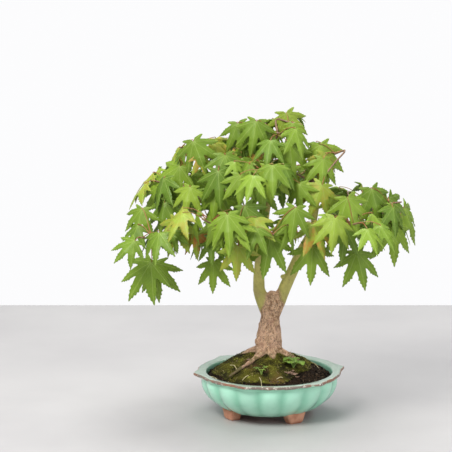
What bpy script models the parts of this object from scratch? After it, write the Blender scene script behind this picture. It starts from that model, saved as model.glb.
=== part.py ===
"""Japanese maple bonsai, planted in a lobed glazed pot.

Lengths are millimetres in the lists below and become metres through MM. The origin is on the
table under the middle of the pot, +Z is up and -Y is the front of the tree.
"""
import random
from math import atan2, cos, degrees, pi, radians, sin, sqrt

import bmesh
import bpy
from mathutils import Vector
from mathutils.bvhtree import BVHTree

MM = 0.001
SEAT = 0.35                    # clearance left between pieces that touch

# Pot: 18 lobes round the bowl, 6 points round the lip
POT_STEPS = 72
POT_HEIGHT = 43.0              # to the top of the lip
OPENING_RADIUS = 59.5
LIP_WIDTH = 8.5
LIP_THICK = 3.8
LIP_POINT = 4.6
FIRST_POINT = 40.0             # degrees from the front, to the right
WALL = 4.9                     # bowl beyond the opening, where it is widest
FLOOR_THICK = 5.0
HOLE_RADIUS = 6.0
HOLE_X = 19.0
FOOT_HEIGHT = 6.5              # underside of the bowl, on its feet
FOOT_SIZE = (21.0, 11.0)
FOOT_ANGLES = (-60, 34, 124, 212)
BASE_RADIUS = 37.0
LIP_RADIUS = OPENING_RADIUS + LIP_WIDTH
BOWL_RADIUS = OPENING_RADIUS + WALL
FLOOR_Z = FOOT_HEIGHT + FLOOR_THICK
FOOT_RING = BASE_RADIUS + 3.5

# Soil and moss
SOIL_STEPS = 24
SOIL_BELOW_LIP = 6.0
MOUND_RISE = 23.0
MOSS_THICK = 2.0
MOSS_GAP = 0.75                # under the moss, over the soil's facets
SOIL_EDGE_Z = POT_HEIGHT - SOIL_BELOW_LIP
SOIL_RADIUS = OPENING_RADIUS - 0.5

PLANTED_AT = 37.0              # the tree below is for soil that meets the rim at this height
PLANTED_RADIUS = 59.0          # and the roots and seedlings are for soil of this radius
ROOT_SPREAD = SOIL_RADIUS / PLANTED_RADIUS
CROWN_DEPTH = 106.0            # how far the crown reaches in front and behind
PETIOLE_RADIUS = 0.42
TWIG_RADIUS = 0.85
BLADE_HALF_THICK = 0.4
BLADE_HEEL = 1.4               # from the stalk's end to where the veins meet

# Trunk and its two limbs, then the roots: x, y, z, radius
TRUNK = [
    [(0, 0, 40, 12.0), (-0.5, 0, 56, 13.4), (-0.5, 0, 68, 12.7), (-0.5, 0, 76, 12.4),
     (0.4, 0, 86, 10.4), (1, 0, 94.5, 8.9), (1.6, 0, 104, 9.8), (3.4, 0, 111.5, 9.4), (5, 0, 118, 5.0)],
    [(-1, 0, 97, 7.0), (-6, 0, 109, 6.8), (-10, 0, 121, 6.0), (-10, 0, 136, 5.2),
     (-9, 0, 150, 4.9), (-7, 1, 165, 4.6), (-5, 2, 180, 4.0)],
    [(4, 0, 98, 6.8), (9.5, 0, 110, 6.4), (15, -0.5, 124, 5.9), (21, -1, 137, 5.6),
     (26, -1, 149, 5.4), (33, -0.5, 163, 4.8), (40, 0, 176, 4.2)],
]
ROOTS = [
    [(-4, -6, 62, 6.0), (-13, -16, 57.5, 3.2), (-24, -28, 53.2, 1.9), (-38, -38, 45.5, 1.2)],
    [(2, -6, 61, 6.0), (3, -16, 57, 4.2), (5, -25, 51, 2.8), (7, -35, 43, 1.6)],
    [(6, -3, 61, 6.5), (18, -7, 57, 4.6), (30, -10, 50, 3.0), (41, -13, 41, 1.8)],
    [(3, 6, 61, 6.5), (6, 19, 56, 4.6), (8, 33, 47, 2.4)],
    [(-6, 3, 61, 6.5), (-19, 8, 57, 4.4), (-31, 12, 49, 2.8), (-42, 14, 41, 1.8)],
    [(-4, 0, 46, 6.0), (-15, 6, 34, 3.6), (-28, 12, 22, 1.8)],
    [(4, -2, 46, 6.0), (15, -10, 34, 3.6), (26, -20, 22, 1.8)],
    [(2, 4, 46, 6.0), (10, 16, 33, 3.4), (22, 28, 21, 1.8)],
]

# Branches: name, first and last radius, route
BRANCHES = [
    ("apex", 3.5, 1.2, [(-5, 2, 181), (-1, 3, 205), (-8, 1, 232), (0, -3, 254), (8, -5, 270)]),
    ("left_low", 2.8, 1.1, [(-14, -2, 150), (-38, -14, 164), (-70, -32, 174), (-100, -48, 178)]),
    ("left_mid", 2.8, 1.1, [(-12, 3, 168), (-35, 12, 188), (-62, 16, 206), (-86, 8, 218)]),
    ("left_high", 2.2, 1.0, [(-5, 3, 208), (-26, 0, 227), (-48, -6, 242), (-62, -12, 252)]),
    ("front_left", 2.4, 1.0, [(-12, -5, 158), (-24, -26, 174), (-38, -48, 188), (-48, -62, 196)]),
    ("front_low", 2.4, 1.0, [(-6, -5, 172), (-3, -28, 178), (-1, -50, 184), (0, -64, 186)]),
    ("front_high", 1.8, 1.0, [(-4, -1, 213), (-3, -20, 226), (-6, -38, 238)]),
    ("back_left", 2.4, 1.0, [(-11, 5, 160), (-28, 28, 178), (-50, 50, 192), (-62, 62, 197)]),
    ("back_mid", 2.4, 1.0, [(-5, 7, 176), (-2, 30, 198), (4, 52, 212), (8, 68, 214)]),
    ("back_high", 1.8, 1.0, [(-8, 5, 222), (-14, 22, 238), (-22, 36, 246)]),
    ("right_top", 3.4, 1.1, [(41, 0, 177), (44, 2, 200), (39, 2, 222), (44, -5, 240), (50, -9, 248)]),
    ("right_mid", 2.8, 1.1, [(42, -1, 172), (64, -5, 190), (86, -6, 202), (102, -8, 203)]),
    ("right_low", 2.6, 1.1, [(38, 3, 164), (62, 16, 170), (88, 34, 176), (108, 46, 177)]),
    ("right_front", 2.4, 1.0, [(31, -6, 158), (44, -26, 172), (58, -44, 185), (68, -55, 192)]),
    ("right_back", 2.4, 1.0, [(37, 5, 168), (50, 28, 181), (66, 50, 190), (76, 60, 193)]),
]

# Shoots besides the one at each branch's end: branch, share of its route, turn in degrees, rise
SIDE_SHOOTS = [
    ("apex", 0.62, 150, 25), ("apex", 0.85, -60, 30), ("left_low", 0.45, 62, 5),
    ("left_low", 0.72, -55, 12), ("left_mid", 0.55, 60, 20), ("left_mid", 0.8, -60, 22),
    ("left_high", 0.6, 60, 25), ("front_left", 0.6, -62, 15), ("front_left", 0.8, 62, 12),
    ("front_low", 0.6, 70, 8), ("back_left", 0.65, 60, 15), ("back_mid", 0.6, -65, 20),
    ("right_top", 0.6, -100, 20), ("right_top", 0.82, 70, 28), ("right_mid", 0.6, 60, 20),
    ("right_low", 0.5, -60, 5), ("right_low", 0.75, 60, 12), ("right_front", 0.62, 60, 15),
]

# The leaves that shape the outline and the front: where the blade starts, where its tip ends
KEY_LEAVES = [
    ((15, 0, 288), (23, -5, 260)), ((46, -20, 261), (54, -27, 228)), ((-13, -25, 284), (-18, -34, 257)),
    ((-30, -10, 280), (-25, -20, 254)), ((-71, -34, 267), (-60, -43, 240)),
    ((-48, -52, 242), (-47, -62, 212)), ((0, -50, 245), (0, -58, 215)), ((-74, -46, 226), (-80, -54, 203)),
    ((-24, -66, 212), (-13, -76, 186)), ((-53, -70, 199), (-36, -80, 167)), ((-1, -74, 185), (-7, -84, 152)),
    ((-52, -52, 158), (-54, -58, 132)), ((-106, -34, 153), (-105, -40, 120)),
    ((-124, -72, 181), (-142, -78, 165)),
    ((-110, -52, 157), (-131, -58, 127)), ((47, -45, 228), (36, -54, 202)), ((70, -58, 218), (80, -66, 188)),
    ((68, -62, 191), (66, -70, 163)), ((79, -50, 166), (88, -58, 136)), ((38, -62, 174), (37, -70, 143)),
    ((131, 66, 187), (145, 72, 153)), ((112, -26, 190), (118, -34, 154)),
    ((-84, -12, 240), (-104, -14, 212)),
    ((22, -76, 212), (18, -84, 184)), ((-86, -50, 196), (-94, -58, 167)),
    ((-30, -82, 178), (-32, -88, 150)), ((94, -20, 220), (104, -26, 190)), ((112, 10, 206), (128, 12, 176)),
    ((18, -28, 262), (22, -38, 234)), ((-98, 2, 222), (-118, 0, 196)), ((-8, -52, 227), (-8, -61, 203)),
    ((8, -32, 234), (11, -40, 208)), ((-28, -58, 239), (-30, -66, 214)), ((26, -46, 229), (30, -54, 204)),
    ((-119, -30, 203), (-126, -38, 178)), ((-98, -26, 208), (-103, -33, 182)),
    ((-50, -46, 224), (-54, -54, 198)),
]

# Crown outline seen from the front: x, height
CROWN_OUTLINE = [
    (-147, 184), (-138, 200), (-121, 224), (-92, 252), (-69, 266), (-50, 275), (-27, 284), (-6, 286),
    (16, 294), (30, 285), (49, 264), (71, 236), (94, 226), (117, 208), (134, 176), (144, 158),
]

# Seedlings: name, place, and for each leaf its direction, reach and rise
SEEDLINGS = [
    ("seedling_right", (22, -30), [(20, 7, 5), (95, 8, 4), (160, 7, 6), (-60, 7, 5), (-120, 6, 7)]),
    ("seedling_front", (-8, -42), [(10, 5, 4), (120, 5, 5), (-100, 5, 5)]),
]


def clear_scene():
    for thing in list(bpy.data.objects):
        bpy.data.objects.remove(thing, do_unlink=True)


def material(name, colour, roughness, metallic=0.0):
    made = bpy.data.materials.new(name)
    made.use_nodes = True
    shader = made.node_tree.nodes["Principled BSDF"]
    shader.inputs["Base Color"].default_value = (*colour, 1.0)
    shader.inputs["Roughness"].default_value = roughness
    shader.inputs["Metallic"].default_value = metallic
    made.diffuse_color = (*colour, 1.0)
    return made


def mesh_object(name, verts, faces):
    """A closed mesh from points in millimetres, facing outwards."""
    mesh = bpy.data.meshes.new(name)
    mesh.from_pydata([Vector(v) * MM for v in verts], [], faces)
    made = bpy.data.objects.new(name, mesh)
    bpy.context.scene.collection.objects.link(made)
    return made


def tube(name, points, radii, resolution=2):
    """A round tapered rod through the points, as a closed mesh."""
    curve = bpy.data.curves.new(name, "CURVE")
    curve.dimensions = "3D"
    curve.bevel_depth = MM
    curve.bevel_resolution = resolution
    curve.use_fill_caps = True
    spline = curve.splines.new("POLY")
    spline.points.add(len(points) - 1)
    for place, point, radius in zip(spline.points, points, radii):
        place.co = (*(Vector(point) * MM), 1.0)
        place.radius = radius
    rod = bpy.data.objects.new(name, curve)
    bpy.context.scene.collection.objects.link(rod)
    mesh = bpy.data.meshes.new_from_object(rod.evaluated_get(bpy.context.evaluated_depsgraph_get()))
    bpy.data.objects.remove(rod, do_unlink=True)
    work = bmesh.new()
    work.from_mesh(mesh)
    bmesh.ops.remove_doubles(work, verts=work.verts, dist=0.01 * MM)
    bmesh.ops.recalc_face_normals(work, faces=work.faces)
    work.to_mesh(mesh)
    work.free()
    made = bpy.data.objects.new(name, mesh)
    bpy.context.scene.collection.objects.link(made)
    return made


def combine(body, others, operation, keep=False, solver="EXACT"):
    """Joins the other solids to a body, or cuts them from it, and applies each step."""
    for other in others:
        step = body.modifiers.new(operation.lower(), "BOOLEAN")
        step.operation = operation
        step.solver = solver
        step.object = other
        body.data = bpy.data.meshes.new_from_object(
            body.evaluated_get(bpy.context.evaluated_depsgraph_get()))
        body.modifiers.clear()
        if not keep:
            bpy.data.objects.remove(other, do_unlink=True)
    return body


def box(name, centre, size, bevel=0.0):
    bpy.ops.mesh.primitive_cube_add(size=1, location=Vector(centre) * MM)
    made = bpy.context.object
    made.name = name
    made.scale = Vector(size) * MM
    bpy.ops.object.transform_apply(location=True, rotation=False, scale=True)
    if bevel:
        edge = made.modifiers.new("edge", "BEVEL")
        edge.width = bevel * MM
        edge.segments = 2
        bpy.ops.object.modifier_apply(modifier=edge.name)
    return made


def cylinder(name, centre, radius, depth, sides=24):
    bpy.ops.mesh.primitive_cylinder_add(vertices=sides, radius=radius * MM, depth=depth * MM,
                                        location=Vector(centre) * MM)
    bpy.context.object.name = name
    return bpy.context.object


def around(angle, radius, z):
    """A point at an angle in degrees from the front, to the right."""
    return Vector((sin(radians(angle)) * radius, -cos(radians(angle)) * radius, z))


def loft(name, rings, start, end, steps):
    """A closed skin over rings of points, from one middle point to the other."""
    verts = [start] + [p for ring in rings for p in ring] + [end]
    faces = []
    for k in range(steps):
        n = (k + 1) % steps
        faces.append((0, 1 + n, 1 + k))
        for row in range(len(rings) - 1):
            a = 1 + row * steps
            faces.append((a + k, a + n, a + steps + n, a + steps + k))
        last = 1 + (len(rings) - 1) * steps
        faces.append((last + k, last + n, len(verts) - 1))
    return mesh_object(name, verts, faces)


# ---------------------------------------------------------------- pot

def lobe(angle):
    """+0.4 on the crest of each of the 18 lobes, -0.6 in the groove between two."""
    return abs(cos(radians(9 * angle))) - 0.6


def lip_point(angle):
    off = abs((angle - FIRST_POINT + 30) % 60 - 30)
    return max(0.0, 1 - off / 15) ** 1.4


# the bowl from its base up to the lip: share of the widening, share of the height, lobe depth
BOWL = [(0, 0, 0), (0.182, 0.028, 0.8), (0.493, 0.184, 1.6), (0.766, 0.382, 2.2), (0.934, 0.612, 2.4),
        (1.0, 0.826, 2.0), (0.993, 0.97, 1.0)]
# radius, z, lobe depth, share of the lip's points
LIP_RINGS = [
    (LIP_RADIUS - 0.4, POT_HEIGHT - LIP_THICK, 0.8, 0.9), (LIP_RADIUS, POT_HEIGHT - 1.6, 0.8, 1),
    (LIP_RADIUS - 1.2, POT_HEIGHT, 0.8, 1), (OPENING_RADIUS + 2.5, POT_HEIGHT - 0.2, 0, 0.1),
    (OPENING_RADIUS, POT_HEIGHT - 1.4, 0, 0),
]
INNER_WIDENING = (OPENING_RADIUS - BASE_RADIUS) / 22.5
INNER_DEPTH = POT_HEIGHT - FLOOR_Z
INNER_RINGS = [(OPENING_RADIUS - 0.2, FLOOR_Z + 0.71 * INNER_DEPTH),
               (OPENING_RADIUS - 3.2 * INNER_WIDENING, FLOOR_Z + 0.43 * INNER_DEPTH),
               (OPENING_RADIUS - 11.0 * INNER_WIDENING, FLOOR_Z + 0.155 * INNER_DEPTH),
               (BASE_RADIUS + 1.0, FLOOR_Z)]


def build_pot():
    rim_z = POT_HEIGHT - LIP_THICK
    outer = [(BASE_RADIUS + (BOWL_RADIUS - BASE_RADIUS) * wide,
              FOOT_HEIGHT + (rim_z - FOOT_HEIGHT) * high, depth, 0) for wide, high, depth in BOWL]
    rings = []
    for radius, z, depth, point in outer + LIP_RINGS + [(r, z, 0, 0) for r, z in INNER_RINGS]:
        rings.append([around(a, radius + depth * lobe(a) + point * LIP_POINT * lip_point(a), z)
                      for a in (k * 360 / POT_STEPS for k in range(POT_STEPS))])
    pot = loft("pot", rings, (0, 0, FOOT_HEIGHT), (0, 0, FLOOR_Z), POT_STEPS)
    feet = []
    tall = FOOT_HEIGHT + 4.0
    for angle in FOOT_ANGLES:
        foot = box("foot", (0, 0, tall / 2), (*FOOT_SIZE, tall), bevel=1.6)
        for corner in foot.data.vertices:
            corner.co.x *= 1.0 - 0.34 * (1 - corner.co.z / (tall * MM))
        foot.rotation_euler.z = radians(angle)
        foot.location = around(angle, FOOT_RING, 0) * MM
        feet.append(foot)
    combine(pot, feet, "UNION")
    middle = FOOT_HEIGHT + FLOOR_THICK / 2
    holes = [cylinder("hole", (side * HOLE_X, 0, middle), HOLE_RADIUS, 2 * FLOOR_THICK) for side in (-1, 1)]
    return combine(pot, holes, "DIFFERENCE")


# ---------------------------------------------------------------- drainage mesh and its clips

MESH_SIZE = 20.0
MESH_THICK = 0.8
MESH_PITCH = 5.2
MESH_OPENING = 4.0
CLIP_RADIUS = 0.5


def build_drainage(side):
    """A square of plastic mesh over a drain hole."""
    x = side * HOLE_X
    z = FLOOR_Z + SEAT + MESH_THICK / 2
    mesh = box("drain_mesh", (x, 0, z), (MESH_SIZE, MESH_SIZE, MESH_THICK))
    openings = [box("opening", (x + i * MESH_PITCH, j * MESH_PITCH, z), (MESH_OPENING, MESH_OPENING, 4))
                for i in (-1, 0, 1) for j in (-1, 0, 1)]
    return combine(mesh, openings, "DIFFERENCE")


def build_clip(side):
    """A staple of wire that holds the mesh down, its legs turned out under the pot."""
    x = side * HOLE_X
    top = FLOOR_Z + SEAT + MESH_THICK + SEAT + CLIP_RADIUS
    under = FOOT_HEIGHT - SEAT - CLIP_RADIUS
    leg = MESH_PITCH - 0.3
    route = [(x - 9.5, under), (x - leg - 1, under), (x - leg, under + 1), (x - leg, top - 1),
             (x - leg + 1, top), (x + leg - 1, top), (x + leg, top - 1), (x + leg, under + 1),
             (x + leg + 1, under), (x + 9.5, under)]
    return tube("drain_clip", [(px, 0, pz) for px, pz in route], [CLIP_RADIUS] * len(route))


# ---------------------------------------------------------------- soil and moss

def mound(radius, angle):
    """Height of the soil, highest behind the trunk and low at the front right."""
    share = min(radius / SOIL_RADIUS, 1.0)
    roll = 1.2 * sin(radians(2 * angle + 40)) * sin(pi * share)
    return SOIL_EDGE_Z + MOUND_RISE * (1 - share ** 1.6) + roll


TOP_SHARES = (0.9, 0.78, 0.64, 0.49, 0.34, 0.17)


def build_soil(trunk_cutters):
    angles = [k * 360 / SOIL_STEPS for k in range(SOIL_STEPS)]
    wall = [(r - SEAT, z) for r, z in reversed(INNER_RINGS[:-1])]
    rings = [[around(a, BASE_RADIUS - 0.5, FLOOR_Z + SEAT) for a in angles]]
    rings += [[around(a, r, z) for a in angles] for r, z in wall]
    rings += [[around(a, r, mound(r, a)) for a in angles] for r in
              [SOIL_RADIUS] + [share * SOIL_RADIUS for share in TOP_SHARES]]
    soil = loft("soil", rings, (0, 0, FLOOR_Z + SEAT), (0, 0, mound(0, 0)), SOIL_STEPS)
    recess = 2 * (MESH_THICK + 2 * CLIP_RADIUS + 3 * SEAT)
    wells = [box("well", (side * HOLE_X, 0, FLOOR_Z), (MESH_SIZE + 1, MESH_SIZE + 1, recess))
             for side in (-1, 1)]
    combine(soil, wells, "DIFFERENCE")
    return combine(soil, trunk_cutters, "DIFFERENCE", keep=True)


def moss_edge(angle):
    """The moss stops short of the rim, most of all at the right, where soil is bare."""
    bare = max(0.0, cos(radians(angle - 78)))
    return SOIL_RADIUS * (0.9 - 0.22 * bare ** 2 + 0.027 * sin(radians(7 * angle)))


def build_moss(trunk_cutters):
    angles = [k * 360 / SOIL_STEPS for k in range(SOIL_STEPS)]
    share = (0.25, 0.5, 0.76)

    def ring(part, lift):
        return [around(a, moss_edge(a) * part, mound(moss_edge(a) * part, a) + lift) for a in angles]

    low = [ring(part, MOSS_GAP) for part in share] + [ring(0.985, 0.6)]
    high = [ring(1.0, 1.1)] + [ring(part, MOSS_GAP + MOSS_THICK) for part in reversed(share)]
    top = mound(0, 0) + MOSS_GAP
    moss = loft("moss", low + high, (0, 0, top), (0, 0, top + MOSS_THICK), SOIL_STEPS)
    return combine(moss, trunk_cutters, "DIFFERENCE", solver="MANIFOLD")


# ---------------------------------------------------------------- trunk and branches

def planted(point, spread=1.0):
    """A point of the tree, raised or lowered with the soil that it grows from."""
    return Vector((point[0] * spread, point[1] * spread, point[2] + SOIL_EDGE_Z - PLANTED_AT))


def trunk_rods(extra=0.0):
    rods = [tube("rod", [planted(p) for p in route], [p[3] + extra for p in route], 3) for route in TRUNK]
    return rods + [tube("root", [planted(p, ROOT_SPREAD) for p in route], [p[3] + extra for p in route])
                   for route in ROOTS]


def skin(thing):
    """The surface of an object, for measuring against."""
    thing.data.calc_loop_triangles()
    corners = [thing.matrix_world @ v.co / MM for v in thing.data.vertices]
    return BVHTree.FromPolygons(corners, [tuple(t.vertices) for t in thing.data.loop_triangles])


def start_clear(points, radius, solid):
    """Draws a rod's first point back along its route until its end stands clear of a solid."""
    first, second = Vector(points[0]), Vector(points[1])
    way = (second - first).normalized()
    side = way.orthogonal().normalized()
    for _ in range(80):
        rim = [first + (side * cos(k * pi / 4) + way.cross(side) * sin(k * pi / 4)) * radius
               for k in range(8)]
        near = min(solid.find_nearest(p)[3] for p in rim)
        inside = any((p - solid.find_nearest(p)[0]).dot(solid.find_nearest(p)[1]) < 0 for p in rim)
        if near >= SEAT and not inside:
            break
        first += way * 0.15
    return [first] + [Vector(p) for p in points[1:]]


def settle_back(points, radius, solid):
    """Moves a rod's first point back to the solid, then out until it just clears it."""
    first, second = Vector(points[0]), Vector(points[1])
    way = (second - first).normalized()
    for _ in range(60):
        spot, normal, _, gap = solid.find_nearest(first)
        if gap < 0.5 or (first - spot).dot(normal) < 0:
            break
        first -= way * 0.3
    return start_clear([first] + list(points[1:]), radius, solid)


def along(points, share):
    """The point and direction at a share of a route's length."""
    points = [Vector(p) for p in points]
    total = sum((b - a).length for a, b in zip(points, points[1:]))
    left = share * total
    for a, b in zip(points, points[1:]):
        step = (b - a).length
        if left <= step or b == points[-1]:
            return a + (b - a) * min(1.0, left / step), (b - a).normalized()
        left -= step


# ---------------------------------------------------------------- leaves

# angle from the middle lobe, length, half width in degrees; the last lobes are plain points
SEVEN_LOBES = [(0, 1.0, 11), (36, 0.92, 11), (72, 0.68, 0), (112, 0.34, 0)]
FIVE_LOBES = [(0, 1.0, 12), (40, 0.86, 12), (82, 0.54, 0)]
WIDEST = 0.54                  # where a lobe is broadest, as a share of its length
SINUS = 0.36                   # how far out the cut between two lobes ends
DROOP = 0.16                   # fall of the tip, and of the sides for each unit outwards
FOLD = 0.34


def leaf_outline(lobes):
    """One half of a palmate leaf, from the stalk to the middle lobe's tip: angle and distance."""
    half = []
    for k in range(len(lobes) - 1, -1, -1):
        angle, length, wide = lobes[k]
        if wide:
            half.append((angle + wide, length * WIDEST))
        half.append((angle, length))
        if k and wide:
            half.append((angle - wide, length * WIDEST))
        if k:
            half.append(((angle + lobes[k - 1][0]) / 2, SINUS))
    return half


def leaf_solid(hub, aim, face, length, stalk, lobes):
    """A drooping blade with its stalk, as one closed solid: points and triangles."""
    y = aim.normalized()
    z = (face - y * face.dot(y)).normalized()
    x = y.cross(z)

    def place(angle, reach):
        px, py = sin(radians(angle)) * reach, cos(radians(angle)) * reach
        sag = -DROOP * reach * reach / length - FOLD * abs(px)
        return hub + x * px * (1 - FOLD * FOLD / 2) + y * py + z * sag

    half = leaf_outline(lobes)
    right = [place(a, r * length) for a, r in half]
    left = [place(-a, r * length) for a, r in reversed(half[:-1])]
    heel = hub - y * BLADE_HEEL
    rim = [heel + x * PETIOLE_RADIUS] + right + left + [heel - x * PETIOLE_RADIUS]
    n = len(rim)
    verts = rim + [hub + z * BLADE_HALF_THICK, hub - z * BLADE_HALF_THICK,
                   heel + z * PETIOLE_RADIUS, heel - z * PETIOLE_RADIUS]
    top, low, heel_top, heel_low = n, n + 1, n + 2, n + 3
    faces = [(top, k, k + 1) for k in range(n - 1)] + [(low, k + 1, k) for k in range(n - 1)]
    faces += [(top, n - 1, heel_top), (top, heel_top, 0), (low, heel_low, n - 1), (low, 0, heel_low)]
    blade = len(faces)
    ring = [0, heel_top, n - 1, heel_low]
    reach = (heel - stalk).length
    bend = stalk.lerp(heel, 0.55) + Vector((0, 0, 0.2 * reach))
    path = [heel * (1 - t) ** 2 + bend * 2 * t * (1 - t) + stalk * t * t for t in (0.45, 1.0)]
    before = heel
    for point in path:
        way = (point - before).normalized()
        side = (x - way * x.dot(way)).normalized()
        rise = way.cross(side)
        verts += [point + side * PETIOLE_RADIUS, point + rise * PETIOLE_RADIUS,
                  point - side * PETIOLE_RADIUS, point - rise * PETIOLE_RADIUS]
        new = list(range(len(verts) - 4, len(verts)))
        for k in range(4):
            a, b, c, d = ring[k], ring[(k + 1) % 4], new[(k + 1) % 4], new[k]
            faces += [(a, b, c), (a, c, d)]
        ring = new
        before = point
    faces += [(ring[0], ring[1], ring[2]), (ring[0], ring[2], ring[3])]
    return verts, faces, blade


def crown_top(x):
    for (xa, za), (xb, zb) in zip(CROWN_OUTLINE, CROWN_OUTLINE[1:]):
        if xa <= x <= xb:
            return za + (zb - za) * (x - xa) / (xb - xa)
    return 0.0


def in_crown(point, margin=0.0):
    """True inside the crown: under the outline, drawn in towards the front and back."""
    depth = abs(point.y) / CROWN_DEPTH
    if depth >= 1:
        return False
    middle = 140.0
    top = crown_top(point.x * (1 + 0.12 * depth * depth))
    height = point.z - planted((0, 0, 0)).z
    return height < middle + (top - middle) * sqrt(1 - depth * depth * 0.8) - margin


# turn in degrees, tip up or down, size: what a leaf tries until it is clear of its neighbours
TRIES = [(0, 0, 1), (18, 0, 1), (-18, 0, 1), (0, 0.25, 1), (36, 0, 0.95), (-36, 0, 0.95), (0, -0.3, 1),
         (20, 0.3, 0.9), (-20, 0.3, 0.9), (55, 0, 0.9), (-55, 0, 0.9), (30, -0.3, 0.8), (-30, -0.3, 0.8),
         (75, 0.2, 0.8), (-75, 0.2, 0.8), (0, 0.6, 0.75), (40, 0.6, 0.7), (-40, 0.6, 0.7)]
KEY_TRIES = [(0, 0, 1), (7, 0, 1), (-7, 0, 1), (14, 0.05, 1), (-14, 0.05, 1), (22, 0, 0.97),
             (-22, 0, 0.97), (0, 0.15, 0.95), (0, -0.15, 0.95), (32, 0, 0.93), (-32, 0, 0.93)]


# pairs on a shoot: turn from the twig in degrees, which point of the twig, stalk length
LEAF_PAIRS = [(26, 2, 21), (74, 1, 24), (112, 2, 17), (150, 1, 22)]


def turned(vector, degrees):
    cosine, sine = cos(radians(degrees)), sin(radians(degrees))
    return Vector((vector.x * cosine - vector.y * sine, vector.x * sine + vector.y * cosine, vector.z))


def bud(points, share, count):
    """Where a stalk springs from inside a twig, each a little further back than the last."""
    back = (points[share - 1] - points[share]).normalized()
    return points[share] + back * (0.8 + 0.55 * count)


def add_leaf(grown, solids, shoot, stalk, hub, aim, face, length, lobes, tries):
    """Grows one leaf in the first of the tried poses where it is clear of all the rest."""
    for turn, tip, size in tries:
        way = (turned(aim, turn) + Vector((0, 0, tip))).normalized()
        verts, faces, blade = leaf_solid(hub, way, turned(face, turn), length * size, stalk, lobes)
        if tries is TRIES and not all(in_crown(v) for v in verts[:blade // 2]):
            continue
        whole = BVHTree.FromPolygons(verts, faces)
        if any(whole.overlap(solid) for solid in solids):
            continue
        flat = BVHTree.FromPolygons(verts, faces[:blade])
        middle = hub + way * length * 0.3
        near = [g for g in grown if (g["middle"] - middle).length < 95]
        if any(flat.overlap(g["flat"]) if g["shoot"] == shoot else whole.overlap(g["whole"]) for g in near):
            continue
        grown.append({"shoot": shoot, "middle": middle, "flat": flat, "whole": whole, "verts": verts,
                      "faces": faces, "hub": hub, "way": way, "face": turned(face, turn),
                      "length": length * size, "stalk": stalk, "lobes": len(lobes)})
        return True
    return False


def shoot_routes(branch_routes, solids):
    """The twigs: one at each branch's end and those listed at its sides."""
    shoots = []
    plans = [(name, 1.0, 0, 8) for name, *_ in BRANCHES] + SIDE_SHOOTS
    chance = random.Random(5)
    for name, share, turn, rise in plans:
        route, width, surface = branch_routes[name]
        base, way = along(route, share)
        flat = turned(Vector((way.x, way.y, 0)).normalized(), turn)
        reach = (19 if share == 1.0 else 22) + chance.uniform(-2, 3)
        for swing in (0, 15, -15, 30, -30, 45, -45, 60, -60):
            aim = (turned(flat, swing) + Vector((0, 0, sin(radians(rise)) + 0.35 * way.z))).normalized()
            start = base + aim * (width + TWIG_RADIUS + 0.2)
            knee = start + aim * reach * 0.5 + Vector((0, 0, 1.2))
            end = knee + (aim - Vector((0, 0, 0.15))).normalized() * reach * 0.5
            points = settle_back([start, knee, end], TWIG_RADIUS, surface)
            twig = tube("twig", points, [TWIG_RADIUS, TWIG_RADIUS * 0.9, TWIG_RADIUS * 0.75], 1)
            shell = skin(twig)
            if any(shell.overlap(solid) for solid in solids):
                bpy.data.objects.remove(twig, do_unlink=True)
                continue
            shoots.append((points, twig))
            solids.append(shell)
            break
    return shoots


def grow_leaves(shoots, solids):
    grown = []
    chance = random.Random(11)
    own = {k: skin(twig) for k, (_, twig) in enumerate(shoots)}
    wood = {k: solids + [own[j] for j in own if j != k] for k in own}
    for hub, tip in KEY_LEAVES:
        hub, tip = planted(hub), planted(tip)
        choices = sorted(range(len(shoots)), key=lambda k: min((p - hub).length for p in shoots[k][0][1:]))
        for k in choices[:3]:
            share = min((1, 2), key=lambda p: (shoots[k][0][p] - hub).length)
            stalk = bud(shoots[k][0], share, sum(g["shoot"] == k for g in grown))
            aim = (tip - hub).normalized()
            face = Vector((hub.x * 0.35, -80 + 0.4 * hub.y, 60)).normalized()
            if add_leaf(grown, wood[k], k, stalk, hub, aim, face, (tip - hub).length * 1.12,
                        SEVEN_LOBES, KEY_TRIES):
                break
    for step, (spread, share, stalk_length) in enumerate(LEAF_PAIRS):
        for k, (points, _) in enumerate(shoots):
            way = points[-1] - points[0]
            for side in (-1, 1):
                stalk = bud(points, share, sum(g["shoot"] == k for g in grown))
                turn = side * spread + chance.uniform(-14, 14)
                flat = turned(Vector((way.x, way.y, 0)).normalized(), turn)
                out = Vector((stalk.x * 0.8 - 3, stalk.y, 0)) / 100
                reach = stalk_length + chance.uniform(-4, 6)
                hub = stalk + (flat + Vector((0, 0, 0.35))).normalized() * reach
                if not in_crown(hub, 2):
                    hub = stalk + (flat * 0.9 - Vector((0, 0, 0.1))).normalized() * reach * 0.8
                drop = chance.uniform(0.9, 1.9)
                aim = (flat * 0.75 + out * 0.6 - Vector((0, 0, drop))).normalized()
                face = (flat * 0.5 + out + Vector((0, 0, 0.75))).normalized()
                length = chance.uniform(27, 37) - 3 * step
                lobes = SEVEN_LOBES if length > 33 else FIVE_LOBES
                add_leaf(grown, wood[k], k, stalk, hub, aim, face, length, lobes, TRIES)
    return grown


# ---------------------------------------------------------------- seedlings and litter

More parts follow.
